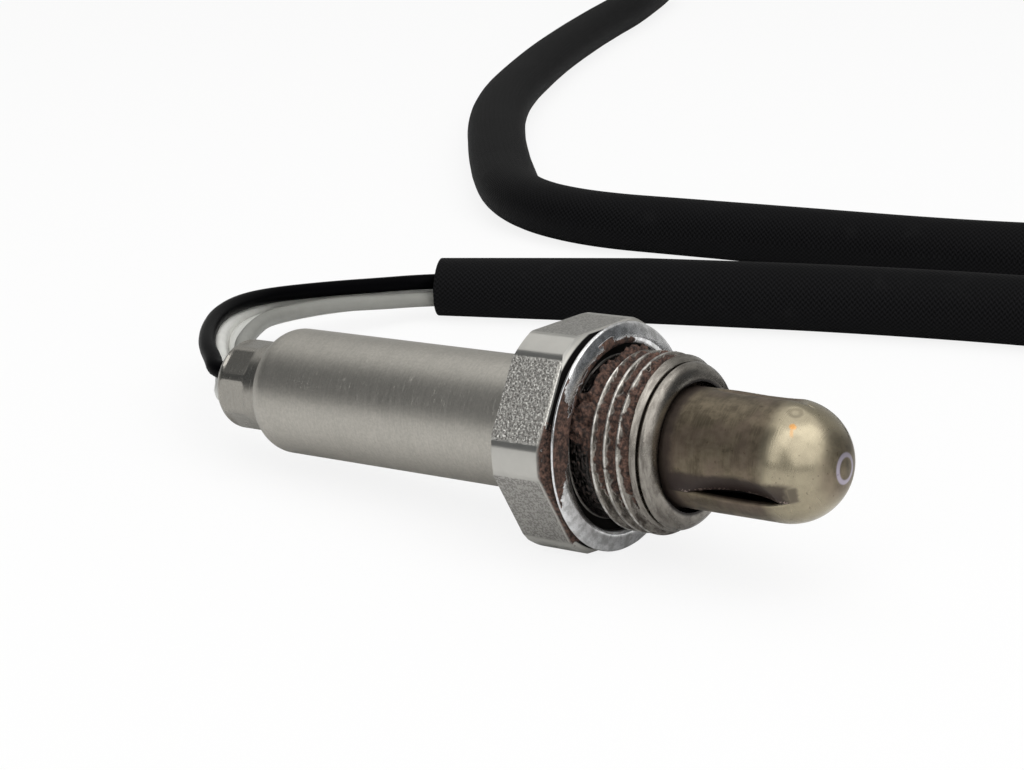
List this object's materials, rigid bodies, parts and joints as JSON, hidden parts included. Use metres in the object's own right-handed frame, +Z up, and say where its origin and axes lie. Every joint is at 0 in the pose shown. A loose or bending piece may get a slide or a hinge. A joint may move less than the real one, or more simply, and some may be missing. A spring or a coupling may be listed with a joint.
{
  "type": "oxygen sensor",
  "caption": "Heated exhaust oxygen sensor with a threaded hex housing, louvred domed tip, crimped rear sleeve and a sleeved lead to its connector.",
  "frame": {"origin": "point on the sensor's axis at the flange face of the hex, where the gasket seats", "axes": "+X towards the louvred tip (the sensor's own axis rises 3.9 degrees from +X as it lies), +Z up, +Y towards the side where the lead runs"},
  "size_m": [0.3618, 0.3963, 0.0229],
  "materials": {
    "housing_steel": "machined, ground flats, baked-on thread paste",
    "gasket_steel": "bright pressed steel with patches of paste",
    "tip_steel": "heat-tinted golden olive",
    "sleeve_steel": "satin drawn tube",
    "ceramic": "unglazed technical ceramic",
    "inner_steel": "plain pressed steel",
    "grommet_rubber": "moulded",
    "insulation_black": "extruded, glossy",
    "insulation_grey": "extruded",
    "insulation_white": "extruded",
    "braid_black": "fine diagonal braid",
    "connector_plastic": "moulded",
    "lock_plastic": "moulded",
    "seal_rubber": "moulded",
    "terminal_metal": "tinned"
  },
  "bodies": {
    "root": {"ceramic_support_tube": "ceramic", "connector_front_seal": "seal_rubber", "connector_housing": "connector_plastic", "connector_lock": "lock_plastic", "contact_element": "inner_steel", "disc_spring": "inner_steel", "gasket_ring": "gasket_steel", "ground_terminal": "inner_steel", "harness_sleeve": "braid_black", "heater_rod": "ceramic", "heater_terminal_1": "inner_steel", "heater_terminal_2": "inner_steel", "hex_housing": "housing_steel", "plug_terminal_1": "terminal_metal", "plug_terminal_2": "terminal_metal", "plug_terminal_3": "terminal_metal", "plug_terminal_4": "terminal_metal", "protection_tube": "tip_steel", "rear_sleeve": "sleeve_steel", "sensor_thimble": "ceramic", "signal_terminal": "inner_steel", "terminal_carrier": "ceramic", "thimble_seal_ring": "inner_steel", "wire_black": "insulation_black", "wire_grey": "insulation_grey", "wire_grommet": "grommet_rubber", "wire_seal_1": "seal_rubber", "wire_seal_2": "seal_rubber", "wire_seal_3": "seal_rubber", "wire_seal_4": "seal_rubber", "wire_white_1": "insulation_white", "wire_white_2": "insulation_white"}
  },
  "joints": []
}
